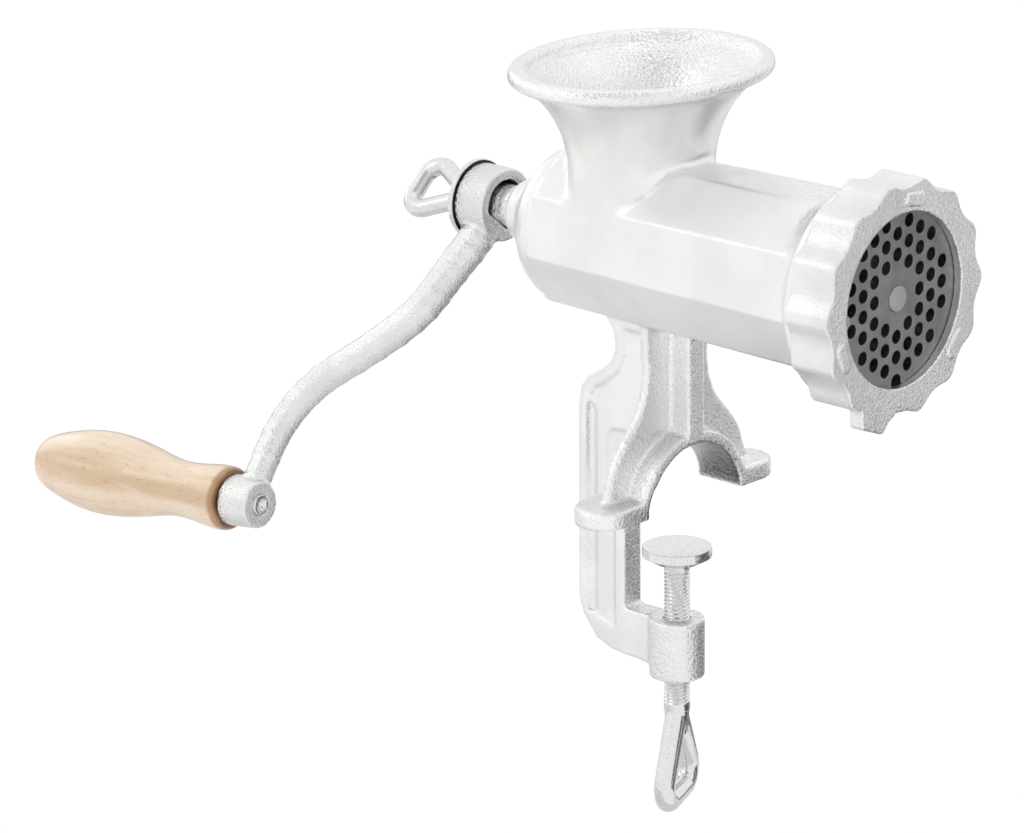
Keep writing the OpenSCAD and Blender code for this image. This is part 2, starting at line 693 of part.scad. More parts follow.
module clamp_screw() {
    nose_r = clamp_thread_r - 1.2;
    n = floor((pad_bottom - 6 - loop_top) / clamp_pitch);
    color("lightgray") {
        difference() {
            translate([0, 0, loop_top]) cylinder(r = clamp_thread_r, h = pad_bottom - loop_top - face_gap);
            for (i = [0 : n - 1]) translate([0, 0, loop_top + 4 + i * clamp_pitch]) rotate_extrude()
                polygon([[clamp_thread_r - 0.8, -0.1], [clamp_thread_r + 1, -0.8], [clamp_thread_r + 1, 0.8],
                    [clamp_thread_r - 0.8, 0.1]]);
        }
        translate([0, 0, pad_bottom - 1]) cylinder(r = nose_r, h = pad_t - 1.4);
        translate([0, 0, loop_top + 1]) rotate([0, 0, loop_turn - 90])
            rod_loop(loop_half, loop_len, loop_rod_r);
        translate([0, 0, loop_top - 9]) cylinder(r1 = loop_rod_r, r2 = clamp_thread_r - 0.3, h = 9.5);
    }
}

module clamp_pad() {
    nose_r = clamp_thread_r - 1.2;
    color("lightgray") difference() {
        union() {
            translate([0, 0, pad_bottom + 2.5]) cylinder(r = pad_r, h = pad_t - 2.5);
            translate([0, 0, pad_bottom]) cylinder(r1 = pad_r * 0.65, r2 = pad_r, h = 2.6);
        }
        translate([0, 0, pad_bottom - 1]) cylinder(r = nose_r + run_gap, h = pad_t - 1);
    }
}

body_casting();
rear_bush();
thrust_washer();
feed_screw();
knife_stud();
knife();
plate();
plate_key();
ring_nut();
crank_arm();
crank_washer();
thumb_screw();
handle_grip();
handle_pin();
handle_washer();
clamp_screw();
clamp_pad();
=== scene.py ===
import math
import bpy
import numpy as np
from mathutils import Matrix, Vector


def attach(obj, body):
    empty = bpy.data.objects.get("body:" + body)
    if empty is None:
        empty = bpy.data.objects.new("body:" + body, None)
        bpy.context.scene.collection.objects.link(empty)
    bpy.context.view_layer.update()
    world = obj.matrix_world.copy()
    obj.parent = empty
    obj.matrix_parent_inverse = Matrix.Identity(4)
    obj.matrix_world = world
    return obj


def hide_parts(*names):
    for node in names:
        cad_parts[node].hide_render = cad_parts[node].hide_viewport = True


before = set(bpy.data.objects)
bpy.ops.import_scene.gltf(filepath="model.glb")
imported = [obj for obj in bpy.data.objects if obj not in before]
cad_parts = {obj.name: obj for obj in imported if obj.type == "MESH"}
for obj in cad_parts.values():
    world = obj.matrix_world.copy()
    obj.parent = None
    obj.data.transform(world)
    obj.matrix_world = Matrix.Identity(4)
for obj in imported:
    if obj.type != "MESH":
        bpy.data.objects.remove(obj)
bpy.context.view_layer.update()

# All lengths are in metres. The barrel's axis runs along X at this height over the soles of the feet.
MM = 0.001
AXIS_H = 97 * MM
TO_AXIS = Matrix.Translation((0, 0, AXIS_H))
UPRIGHT = Matrix.Rotation(-math.pi / 2, 4, "Y")

# Points closer than this are one point, in a solid's copy and in a turned piece
SAME_POINT = 0.00001
SAME_RING_POINT = 0.000004

# Degrees between faces: still flat, sharp enough to be eased, and shaded as one surface
FLAT_ANGLE = 0.6
SHARP_ANGLE = 35
EASED_SHADING = 24
THREAD_SHADING = 50
NOSE_SHADING = 40

# Smoothing: a round's share of the way, and how a corner's weight grows, fades and is stepped
SMOOTHING = 0.5
WEIGHT_GROWTH = 1.6
WEIGHT_FADE_ROWS = 3
WEIGHT_STEPS = 10
DRESSED_FADE_ROWS = 6

# Turned pieces: sides of a turned mesh, the small hole left in an end, and the break of a rod's end
SIDES = 40
NOSE_SIDES = 32
END_HOLE = 0.2 * MM
END_BREAK = 0.6 * MM

# Threads: mesh rows in a pitch, half the groove's width in pitches, and the share of the radius that is cut
ROWS_PER_PITCH = 7
GROOVE_HALF = 0.42
CUT_ZONE = 0.9

# Most triangles of a large and of a middling casting
LARGE = 190000
MIDDLING = 120000


# Small tools for modelling

def let_go():
    """Leaves edit mode and deselects everything."""
    if bpy.context.object and bpy.context.object.mode != "OBJECT":
        bpy.ops.object.mode_set(mode="OBJECT")
    bpy.ops.object.select_all(action="DESELECT")


def take(obj):
    """Makes one object the selected and active one."""
    let_go()
    obj.select_set(True)
    bpy.context.view_layer.objects.active = obj


def edit_all(obj):
    """Opens an object in edit mode with everything selected."""
    take(obj)
    bpy.ops.object.mode_set(mode="EDIT")
    bpy.ops.mesh.select_mode(type="VERT")
    bpy.ops.mesh.select_all(action="SELECT")


def settle(obj):
    """Puts the object's place, turn and size into its mesh."""
    take(obj)
    bpy.ops.object.transform_apply(location=True, rotation=True, scale=True)


def work(obj, kind, **settings):
    """Adds one modifier and applies it."""
    step = obj.modifiers.new("step", kind)
    for key, value in settings.items():
        setattr(step, key, value)
    take(obj)
    bpy.ops.object.modifier_apply(modifier=step.name)


def place(obj, matrix):
    """Moves a piece made at the origin to its place and settles it there."""
    obj.matrix_world = matrix
    settle(obj)


def joined(first, *others):
    """Joins pieces into the first one."""
    take(first)
    for obj in others:
        obj.select_set(True)
    bpy.ops.object.join()
    return first


def smooth_shading(obj):
    """Shades a piece without any edges."""
    take(obj)
    bpy.ops.object.shade_smooth()


def edged_shading(obj, degrees):
    """Shades a piece smooth, apart from edges sharper than an angle."""
    take(obj)
    bpy.ops.object.shade_smooth_by_angle(angle=math.radians(degrees))


def put_on(obj, name, body, nodes, finish):
    """Names a finished piece, gives it its finish and seats it on its body."""
    obj.name = name
    obj.data.name = name
    obj.data.materials.clear()
    obj.data.materials.append(finish)
    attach(obj, body)
    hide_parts(*nodes)


def solid_copy(solid):
    """A copy of a solid of the frame, with its loose triangles joined up."""
    obj = bpy.data.objects.new(solid + "_copy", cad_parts[solid].data.copy())
    bpy.context.scene.collection.objects.link(obj)
    edit_all(obj)
    bpy.ops.mesh.remove_doubles(threshold=SAME_POINT)
    let_go()
    return obj


def eased_copy(solid, width):
    """A machined piece: the solid with its sharp edges broken."""
    obj = solid_copy(solid)
    edit_all(obj)
    bpy.ops.mesh.dissolve_limited(angle_limit=math.radians(FLAT_ANGLE))
    let_go()
    work(obj, "BEVEL", width=width, segments=2, limit_method="ANGLE",
        angle_limit=math.radians(SHARP_ANGLE))
    edged_shading(obj, EASED_SHADING)
    return obj


def neighbours(mesh):
    """A function that averages values over each point's neighbours."""
    count = len(mesh.vertices)
    pairs = np.empty(len(mesh.edges) * 2, dtype=np.int32)
    mesh.edges.foreach_get("vertices", pairs)
    pairs = pairs.reshape(-1, 2)
    degree = np.maximum(np.bincount(pairs.ravel(), minlength=count), 1)

    def mean(values):
        columns = []
        for k in range(values.shape[1]):
            one = np.bincount(pairs[:, 0], weights=values[pairs[:, 1], k], minlength=count)
            two = np.bincount(pairs[:, 1], weights=values[pairs[:, 0], k], minlength=count)
            columns.append((one + two) / degree)
        return np.stack(columns, axis=1)

    return mean


def points_of(mesh, what):
    """The places (co) or normals of a mesh's points, one row each."""
    values = np.empty(len(mesh.vertices) * 3)
    mesh.vertices.foreach_get(what, values)
    return values.reshape(-1, 3)


def from_axis(spot):
    """Each point's distance from the barrel's axis."""
    return np.hypot(spot[:, 1], spot[:, 2] - AXIS_H)


def corner_weights(obj, label, sharp, rows, keep):
    """A vertex group, full in hollow corners (sharp > 0) or on outer edges (sharp < 0), faded beside them."""
    mean = neighbours(obj.data)
    spot = points_of(obj.data, "co")
    out = points_of(obj.data, "normal")
    rise = ((mean(spot) - spot) * out).sum(axis=1)
    bent = rise > sharp if sharp > 0 else rise < sharp
    weight = (bent & keep(spot)).astype(float)
    for row in range(rows):
        wider = mean(weight[:, None])[:, 0]
        weight = np.maximum(weight, np.minimum(1.0, wider * WEIGHT_GROWTH))
    for row in range(WEIGHT_FADE_ROWS):
        weight = mean(weight[:, None])[:, 0]
    group = obj.vertex_groups.new(name=label)
    steps = np.round(weight * WEIGHT_STEPS).astype(int)
    for step in range(1, WEIGHT_STEPS + 1):
        picked = np.nonzero(steps == step)[0].tolist()
        if picked:
            group.add(picked, step / WEIGHT_STEPS, "REPLACE")


def soften(obj, label, sharp, rows, keep, passes):
    """Smooths one kind of corner or edge of a piece."""
    corner_weights(obj, label, sharp, rows, keep)
    work(obj, "SMOOTH", factor=SMOOTHING, iterations=passes, vertex_group=label)


def melt(obj, grain, rounds, corners):
    """Remakes a piece on a fine grid and smooths it, the corners asked for first."""
    work(obj, "REMESH", mode="VOXEL", voxel_size=grain, adaptivity=0.0, use_smooth_shade=True)
    for corner in corners:
        soften(obj, **corner)
    work(obj, "SMOOTH", factor=SMOOTHING, iterations=rounds)
    obj.vertex_groups.clear()


def cast_copy(solid, grain, rounds, corners, most):
    """A cast piece: the solid with rounded edges and filled hollow corners, as a sand mould gives."""
    obj = solid_copy(solid)
    melt(obj, grain, rounds, corners)
    faces = sum(len(p.vertices) - 2 for p in obj.data.polygons)
    if faces > most:
        work(obj, "DECIMATE", decimate_type="COLLAPSE", ratio=most / faces)
    edit_all(obj)
    bpy.ops.mesh.normals_make_consistent(inside=False)
    let_go()
    smooth_shading(obj)
    return obj


def rub_down(obj, share):
    """Writes how far each point was rubbed down, faded over a few rows."""
    mean = neighbours(obj.data)
    for row in range(DRESSED_FADE_ROWS):
        share = mean(share)
    dressed = obj.data.attributes.new("dressed", "FLOAT", "POINT")
    dressed.data.foreach_set("value", share[:, 0])


def turned(rings, sides=SIDES, closed=False, levels=0):
    """A piece turned on the X axis: a circle drawn out from ring to ring, each (distance, radius)."""
    let_go()
    start = rings[0]
    bpy.ops.mesh.primitive_circle_add(vertices=sides, radius=start[1], fill_type="NOTHING",
        location=(start[0], 0, 0), rotation=(0, math.pi / 2, 0))
    obj = bpy.context.object
    settle(obj)
    edit_all(obj)
    if not closed:
        bpy.ops.mesh.edge_face_add()
    for (x0, r0), (x1, r1) in zip(rings, rings[1:]):
        bpy.ops.mesh.extrude_region_move(TRANSFORM_OT_translate={"value": (x1 - x0, 0, 0)})
        bpy.ops.transform.resize(value=(1, r1 / r0, r1 / r0), center_override=(x1, 0, 0))
    bpy.ops.mesh.select_all(action="SELECT")
    bpy.ops.mesh.remove_doubles(threshold=SAME_RING_POINT)
    bpy.ops.mesh.normals_make_consistent(inside=False)
    let_go()
    if levels:
        work(obj, "SUBSURF", levels=levels, render_levels=levels)
    return obj


def cut_thread(obj, x0, x1, radius, pitch, depth):
    """Winds a thread into a rod along X: each point between x0 and x1 goes to its depth in the groove."""
    for point in obj.data.vertices:
        x, y, z = point.co
        reach = math.hypot(y, z)
        if x < x0 or x > x1 or reach < radius * CUT_ZONE:
            continue
        phase = (x / pitch - math.atan2(z, y) / (2 * math.pi)) % 1.0
        groove = max(0.0, 1.0 - abs(phase - 0.5) / GROOVE_HALF)
        fade = min(1.0, (x - x0) / pitch, (x1 - x) / pitch)
        new = radius - depth * groove * fade
        point.co = (x, y * new / reach, z * new / reach)


def threaded_rod(x0, x1, radius, pitch, depth, cut0, cut1):
    """A rod along X with broken ends and a thread from cut0 to cut1."""
    rows = int(round((x1 - x0) / (pitch / ROWS_PER_PITCH)))
    step = (x1 - x0 - 2 * END_BREAK) / rows
    rings = [(x0, END_HOLE), (x0, radius - END_BREAK)]
    rings += [(x0 + END_BREAK + k * step, radius) for k in range(rows + 1)]
    rings += [(x1, radius - END_BREAK), (x1, END_HOLE)]
    rod = turned(rings)
    cut_thread(rod, cut0, cut1, radius, pitch, depth)
    return rod


def bent_loop(half, length, rod, bend):
    """A loop of rod in the YZ plane, its point at the origin, bent round two corners at its far end."""
    side = half - bend
    deep = length - bend
    lean = math.atan2(side, deep) + math.asin(bend / math.hypot(side, deep))
    run = math.sqrt(side * side + deep * deep - bend * bend)
    pull = bend * 4 / 3 * math.tan((math.pi / 2 + lean) / 4)
    way = Vector((0, math.sin(lean), -math.cos(lean)))
    back = Vector((0, -way.y, way.z))
    across = Vector((0, 1, 0))
    near = way * run
    far = Vector((0, side, -length))
    other_far = Vector((0, -side, -length))
    other_near = back * run
    reach = run / 3
    flat = side * 2 / 3
    shape = [
        (Vector((0, 0, 0)), back * reach, way * reach),
        (near, near - way * reach, near + way * pull),
        (far, far + across * pull, far - across * flat),
        (other_far, other_far + across * flat, other_far - across * pull),
        (other_near, other_near + back * pull, other_near - back * reach),
    ]
    let_go()
    bpy.ops.curve.primitive_bezier_circle_add(radius=half)
    loop = bpy.context.object
    loop.data.dimensions = "3D"
    line = loop.data.splines[0]
    line.bezier_points.add(1)
    for point, (spot, before, after) in zip(line.bezier_points, shape):
        point.handle_left_type = "FREE"
        point.handle_right_type = "FREE"
        point.co = spot
        point.handle_left = before
        point.handle_right = after
    loop.data.resolution_u = 20
    loop.data.bevel_depth = rod
    loop.data.bevel_resolution = 8
    settle(loop)
    bpy.ops.object.convert(target="MESH")
    return bpy.context.object


def everywhere(spot):
    """Keeps all of a piece."""
    return np.ones(len(spot), dtype=bool)


def forged(*pieces):
    """Loop and neck run together, as they are forged in one heat."""
    whole = joined(*pieces)
    melt(whole, 0.00035, 5, [dict(label="neck", sharp=0.00002, rows=4, keep=everywhere, passes=25)])
    smooth_shading(whole)
    return whole


# Finishes

def new_group(name, inputs, outputs):
    """An empty node group with its sockets."""
    group = bpy.data.node_groups.new(name, "ShaderNodeTree")
    for label, kind, value in inputs:
        socket = group.interface.new_socket(label, in_out="INPUT", socket_type=kind)
        if value is not None:
            socket.default_value = value
    for label, kind in outputs:
        group.interface.new_socket(label, in_out="OUTPUT", socket_type=kind)
    return group, group.nodes.new("NodeGroupInput"), group.nodes.new("NodeGroupOutput")


def node(tree, kind, **settings):
    """A node with its settings."""
    made = tree.nodes.new(kind)
    for key, value in settings.items():
        setattr(made, key, value)
    return made


def math_node(tree, operation, a, b=None):
    """One step of arithmetic on one or two values, each a number or another node's output."""
    made = node(tree, "ShaderNodeMath", operation=operation)
    for slot, value in enumerate((a, b)):
        if value is None:
            continue
        if isinstance(value, (int, float)):
            made.inputs[slot].default_value = value
        else:
            tree.links.new(value, made.inputs[slot])
    return made.outputs[0]


def plus(tree, a, b):
    return math_node(tree, "ADD", a, b)


def times(tree, a, b):
    return math_node(tree, "MULTIPLY", a, b)


def spread(tree, value, low, high, to_low, to_high):
    """Maps low to high softly onto to_low to to_high, and holds the ends."""
    made = node(tree, "ShaderNodeMapRange", clamp=True, interpolation_type="SMOOTHSTEP")
    tree.links.new(value, made.inputs["Value"])
    made.inputs["From Min"].default_value = low
    made.inputs["From Max"].default_value = high
    made.inputs["To Min"].default_value = to_low
    made.inputs["To Max"].default_value = to_high
    return made.outputs["Result"]


def blend_colour(tree, amount, one, two):
    """Mixes two colours, each a tuple or another node's output."""
    made = node(tree, "ShaderNodeMix", data_type="RGBA")
    tree.links.new(amount, made.inputs["Factor"])
    for slot, value in ((6, one), (7, two)):
        if isinstance(value, tuple):
            made.inputs[slot].default_value = value + (1.0,)
        else:
            tree.links.new(value, made.inputs[slot])
    return made.outputs[2]


def noise(tree, vector, scale, detail, rough=0.55):
    """Cloudy noise, its scale a number or another node's output."""
    made = node(tree, "ShaderNodeTexNoise")
    made.inputs["Detail"].default_value = detail
    made.inputs["Roughness"].default_value = rough
    if isinstance(scale, (int, float)):
        made.inputs["Scale"].default_value = scale
    else:
        tree.links.new(scale, made.inputs["Scale"])
    tree.links.new(vector, made.inputs["Vector"])
    return made.outputs["Fac"]


def mapped(tree, vector, kind="POINT", **values):
    """Moves, turns or stretches coordinates."""
    made = node(tree, "ShaderNodeMapping", vector_type=kind)
    for key, value in values.items():
        made.inputs[key].default_value = value
    tree.links.new(vector, made.inputs["Vector"])
    return made.outputs["Vector"]


def about_axis(tree, vector):
    """Coordinates measured from the barrel's axis."""
    return mapped(tree, vector, Location=(0.0, 0.0, -AXIS_H))


def split(tree, vector):
    """The X, Y and Z of a vector."""
    made = node(tree, "ShaderNodeSeparateXYZ")
    tree.links.new(vector, made.inputs["Vector"])
    return made.outputs


def make_cast_skin():
    """Pebbled skin of a tinned sand casting: the grain's height, its pits and broad cloudy patches."""
    tree, inside, outside = new_group("cast_skin",
        [("Vector", "NodeSocketVector", None), ("Pebbles", "NodeSocketFloat", 800.0),
            ("Patches", "NodeSocketFloat", 45.0)],
        [("Height", "NodeSocketFloat"), ("Pits", "NodeSocketFloat"), ("Cloud", "NodeSocketFloat")])
    vector = inside.outputs["Vector"]
    pebbles = inside.outputs["Pebbles"]
    fine = noise(tree, vector, pebbles, 3.0, 0.6)
    cells = node(tree, "ShaderNodeTexVoronoi", feature="SMOOTH_F1")
    tree.links.new(vector, cells.inputs["Vector"])
    tree.links.new(times(tree, pebbles, 0.62), cells.inputs["Scale"])
    cells.inputs["Smoothness"].default_value = 0.6
    domes = math_node(tree, "SUBTRACT", 1.0, cells.outputs["Distance"])
    swell = noise(tree, vector, times(tree, pebbles, 0.16), 2.0)
    height = plus(tree, times(tree, fine, 0.55), times(tree, domes, 0.45))
    height = plus(tree, height, times(tree, swell, 0.25))
    tree.links.new(height, outside.inputs["Height"])
    tree.links.new(spread(tree, fine, 0.30, 0.46, 1.0, 0.0), outside.inputs["Pits"])
    cloud = noise(tree, vector, inside.outputs["Patches"], 3.0)
    tree.links.new(spread(tree, cloud, 0.35, 0.68, 0.0, 1.0), outside.inputs["Cloud"])
    return tree


def make_handling():
    """Marks of handling on worked metal: fine scuffs, and a mask along the outer edges."""
    tree, inside, outside = new_group("handling",
        [("Vector", "NodeSocketVector", None), ("Scuffs", "NodeSocketFloat", 300.0)],
        [("Scuff", "NodeSocketFloat"), ("Edge", "NodeSocketFloat")])
    vector = inside.outputs["Vector"]
    long = mapped(tree, vector, Scale=(1.0, 7.0, 2.5), Rotation=(0.4, 0.2, 0.7))
    lines = noise(tree, long, inside.outputs["Scuffs"], 4.0, 0.65)
    tree.links.new(spread(tree, lines, 0.42, 0.72, 0.0, 1.0), outside.inputs["Scuff"])
    shape = node(tree, "ShaderNodeNewGeometry")
    broken = noise(tree, vector, 220.0, 3.0)
    edge = spread(tree, shape.outputs["Pointiness"], 0.51, 0.57, 0.0, 1.0)
    tree.links.new(times(tree, edge, broken), outside.inputs["Edge"])
    return tree


cast_skin = make_cast_skin()
handling = make_handling()


def new_finish(name):
    """A material, its nodes and its surface."""
    finish = bpy.data.materials.new(name)
    finish.use_nodes = True
    tree = finish.node_tree
    return finish, tree, tree.nodes["Principled BSDF"]


def own_space(tree):
    """The piece's own coordinates, which it takes along when it moves."""
    return node(tree, "ShaderNodeTexCoord").outputs["Object"]


def use_group(tree, group, vector, **values):
    """A node group's outputs, with its inputs set."""
    made = node(tree, "ShaderNodeGroup", node_tree=group)
    tree.links.new(vector, made.inputs["Vector"])
    for key, value in values.items():
        made.inputs[key].default_value = value
    return made.outputs


def raise_grain(tree, surface, height, distance, strength):
    """Gives a surface a fine relief."""
    bump = node(tree, "ShaderNodeBump")
    bump.inputs["Distance"].default_value = distance
    bump.inputs["Strength"].default_value = strength
    tree.links.new(height, bump.inputs["Height"])
    tree.links.new(bump.outputs["Normal"], surface.inputs["Normal"])


def tinned_casting(name, pebbles, depth, pits, dull, bright):
    """Tin over cast iron. The attribute dressed marks walls that were rubbed down before tinning."""
    worn_edge = (0.93, 0.93, 0.92)
    pit_tone = tuple(0.62 * c for c in dull)
    finish, tree, surface = new_finish(name)
    vector = own_space(tree)
    grain = use_group(tree, cast_skin, vector, Pebbles=pebbles, Patches=38.0)
    marks = use_group(tree, handling, vector, Scuffs=160.0)
    dressed = node(tree, "ShaderNodeAttribute", attribute_name="dressed").outputs["Fac"]
    tone = blend_colour(tree, grain["Cloud"], dull, bright)
    pitted = times(tree, grain["Pits"], spread(tree, dressed, 0.0, 1.0, pits, 0.06))
    tone = blend_colour(tree, pitted, tone, pit_tone)
    tone = blend_colour(tree, marks["Edge"], tone, worn_edge)
    tree.links.new(tone, surface.inputs["Base Color"])
    rough = spread(tree, grain["Cloud"], 0.0, 1.0, 0.42, 0.33)
    rough = plus(tree, rough, times(tree, marks["Scuff"], 0.06))
    rough = plus(tree, rough, spread(tree, dressed, 0.0, 1.0, -0.13, 0.0))
    tree.links.new(rough, surface.inputs["Roughness"])
    surface.inputs["Metallic"].default_value = 1.0
    height = times(tree, grain["Height"], spread(tree, dressed, 0.0, 1.0, 1.0, 0.14))
    raise_grain(tree, surface, height, depth, 1.0)
    return finish


def painted_gap_shadow(tree, vector, start, radius):
    """Mask of a painted shadow: 1 from start on along X, out to a radius round the barrel's axis, and 0
    elsewhere.
    """
    fade = 0.0001
    rim = 0.0003
    parts = split(tree, about_axis(tree, vector))
    squares = plus(tree, times(tree, parts["Y"], parts["Y"]), times(tree, parts["Z"], parts["Z"]))
    near = spread(tree, math_node(tree, "SQRT", squares), radius - rim, radius, 1.0, 0.0)
    return times(tree, near, spread(tree, parts["X"], start - fade, start + fade, 0.0, 1.0))


def polished_steel(name, smooth, scuffed, gap_shadow_from=None):
    """Plated steel between two roughnesses. When a start along X is given, the face is painted near-black
    from there on near the axis, a painted shadow of the gap against the hub.
    """
    clean = (0.80, 0.80, 0.80)
    scuff_tone = (0.66, 0.67, 0.68)
    # Near-black tone and reach from the axis of the painted shadow at the hub
    gap_shadow_tone = (0.04, 0.04, 0.04)
    gap_shadow_radius = 0.0150
    finish, tree, surface = new_finish(name)
    vector = own_space(tree)
    marks = use_group(tree, handling, vector, Scuffs=420.0)
    tone = blend_colour(tree, marks["Scuff"], clean, scuff_tone)
    if gap_shadow_from is not None:
        # Painted shadow of the gap against the hub
        tone = blend_colour(tree, painted_gap_shadow(tree, vector, gap_shadow_from, gap_shadow_radius), tone, gap_shadow_tone)
    tree.links.new(tone, surface.inputs["Base Color"])
    tree.links.new(spread(tree, marks["Scuff"], 0.0, 1.0, smooth, scuffed), surface.inputs["Roughness"])
    surface.inputs["Metallic"].default_value = 1.0
    raise_grain(tree, surface, noise(tree, vector, 130.0, 2.0), 0.0006, 0.35)
    return finish


def ground_steel(name, dark, light, rings):
    """Hardened steel faced on a lathe: faint rings round the barrel's axis."""
    worn_edge = (0.72, 0.72, 0.71)
    finish, tree, surface = new_finish(name)
    vector = own_space(tree)
    marks = use_group(tree, handling, vector, Scuffs=240.0)
    wave = node(tree, "ShaderNodeTexWave", wave_type="RINGS", rings_direction="X")
    wave.inputs["Scale"].default_value = rings
    wave.inputs["Distortion"].default_value = 0.6
    wave.inputs["Detail"].default_value = 2.0
    tree.links.new(about_axis(tree, vector), wave.inputs["Vector"])
    cloud = noise(tree, vector, 70.0, 3.0)
    tone = blend_colour(tree, spread(tree, cloud, 0.35, 0.7, 0.0, 1.0), dark, light)
    tone = blend_colour(tree, marks["Edge"], tone, worn_edge)
    tree.links.new(tone, surface.inputs["Base Color"])
    rough = spread(tree, wave.outputs["Fac"], 0.0, 1.0, 0.34, 0.42)
    rough = plus(tree, rough, times(tree, marks["Scuff"], 0.10))
    tree.links.new(rough, surface.inputs["Roughness"])
    surface.inputs["Metallic"].default_value = 1.0
    raise_grain(tree, surface, wave.outputs["Fac"], 0.00002, 0.5)
    return finish


def varnished_beech(name, turn, inner_end):
    """Pale beech: long streaks and short dark flecks along the grip, browner at its inner end."""
    streak_dark = (0.69, 0.49, 0.315)
    streak_pale = (0.89, 0.71, 0.53)
    band_tone = (0.92, 0.775, 0.615)
    fleck_tone = (0.33, 0.17, 0.07)
    end_brown_tone = (0.44, 0.22, 0.07)
    end_dark_tone = (0.13, 0.045, 0.012)
    finish, tree, surface = new_finish(name)
    grip = mapped(tree, own_space(tree), "TEXTURE", Location=inner_end, Rotation=turn)
    streak = noise(tree, mapped(tree, grip, Scale=(10.0, 120.0, 120.0)), 1.0, 5.0, 0.6)
    band = noise(tree, mapped(tree, grip, Scale=(6.0, 40.0, 40.0)), 1.0, 3.0)
    fleck = noise(tree, mapped(tree, grip, Scale=(260.0, 1900.0, 1900.0)), 1.0, 1.0)
    tone = blend_colour(tree, spread(tree, streak, 0.36, 0.66, 0.0, 1.0), streak_dark, streak_pale)
    bands = times(tree, spread(tree, band, 0.4, 0.7, 0.0, 1.0), 0.45)
    tone = blend_colour(tree, bands, tone, band_tone)
    flecks = times(tree, spread(tree, fleck, 0.66, 0.74, 0.0, 1.0), 0.55)
    tone = blend_colour(tree, flecks, tone, fleck_tone)
    # Browner within about 4 mm of the inner end, and near-black within about 1.4 mm of it
    from_end = plus(tree, split(tree, grip)["X"], times(tree, streak, 0.0012))
    tone = blend_colour(tree, spread(tree, from_end, 0.0018, 0.0040, 0.85, 0.0), tone, end_brown_tone)
    tone = blend_colour(tree, spread(tree, from_end, 0.0004, 0.0014, 0.9, 0.0), tone, end_dark_tone)
    tree.links.new(tone, surface.inputs["Base Color"])
    tree.links.new(spread(tree, streak, 0.3, 0.7, 0.42, 0.30), surface.inputs["Roughness"])
    surface.inputs["Coat Weight"].default_value = 0.75
    surface.inputs["Coat Roughness"].default_value = 0.14
    raise_grain(tree, surface, streak, 0.0002, 0.5)
    return finish


def plain_bronze(name):
    """Turned bronze, a little cloudy and brighter on its edges."""
    dark = (0.40, 0.24, 0.10)
    light = (0.60, 0.40, 0.18)
    worn_edge = (0.74, 0.55, 0.30)
    finish, tree, surface = new_finish(name)
    vector = own_space(tree)
    marks = use_group(tree, handling, vector, Scuffs=260.0)
    cloud = noise(tree, vector, 120.0, 3.0)
    tone = blend_colour(tree, spread(tree, cloud, 0.35, 0.7, 0.0, 1.0), dark, light)
    tone = blend_colour(tree, marks["Edge"], tone, worn_edge)
    tree.links.new(tone, surface.inputs["Base Color"])
    tree.links.new(spread(tree, marks["Scuff"], 0.0, 1.0, 0.30, 0.46), surface.inputs["Roughness"])
    surface.inputs["Metallic"].default_value = 1.0
    raise_grain(tree, surface, cloud, 0.0001, 0.4)
    return finish


def white_nylon(name):
    """Off-white plastic, a little cloudy."""
    dark = (0.68, 0.66, 0.60)
    light = (0.78, 0.77, 0.72)
    finish, tree, surface = new_finish(name)
    vector = own_space(tree)
    marks = use_group(tree, handling, vector, Scuffs=300.0)
    cloud = noise(tree, vector, 180.0, 3.0)
    tone = blend_colour(tree, spread(tree, cloud, 0.35, 0.7, 0.0, 1.0), dark, light)
    tree.links.new(tone, surface.inputs["Base Color"])
    tree.links.new(spread(tree, marks["Scuff"], 0.0, 1.0, 0.38, 0.55), surface.inputs["Roughness"])
    raise_grain(tree, surface, cloud, 0.0001, 0.3)
    return finish


# The grip's own frame: it starts behind the handle boss, and X runs to the grip's free end
CRANK_TURN = math.radians(39)
HANDLE_LEAN = math.radians(3.5)
HANDLE_MID = -138.5 * MM
CRANK_LEN = 138.1 * MM
GRIP_START = 7.25 * MM
crank_frame = TO_AXIS @ Matrix.Rotation(-CRANK_TURN, 4, "X")
handle_frame = (crank_frame @ Matrix.Translation((HANDLE_MID, 0, -CRANK_LEN))
    @ Matrix.Rotation(-HANDLE_LEAN, 4, "Y"))
grip_frame = handle_frame @ Matrix.Translation((-GRIP_START, 0, 0)) @ Matrix.Rotation(math.pi, 4, "Z")

# From here on along X, the washer's face towards the hub is painted near-black, a painted shadow of the gap
# between washer and hub
HUB_GAP_SHADOW = -0.0993

body_tin = tinned_casting("tinned_body", pebbles=1300.0, depth=0.00055, pits=0.5,
    dull=(0.88, 0.88, 0.88), bright=(0.93, 0.93, 0.92))
ring_tin = tinned_casting("tinned_ring", pebbles=1500.0, depth=0.00062, pits=0.55,
    dull=(0.83, 0.83, 0.83), bright=(0.90, 0.90, 0.89))
crank_tin = tinned_casting("tinned_crank", pebbles=1500.0, depth=0.00046, pits=0.24,
    dull=(0.77, 0.77, 0.77), bright=(0.84, 0.84, 0.83))
screw_tin = tinned_casting("tinned_screw", pebbles=1100.0, depth=0.00045, pits=0.4,
    dull=(0.86, 0.86, 0.86), bright=(0.92, 0.92, 0.91))
bright_steel = polished_steel("bright_steel", smooth=0.12, scuffed=0.26)
satin_steel = polished_steel("satin_steel", smooth=0.34, scuffed=0.42)
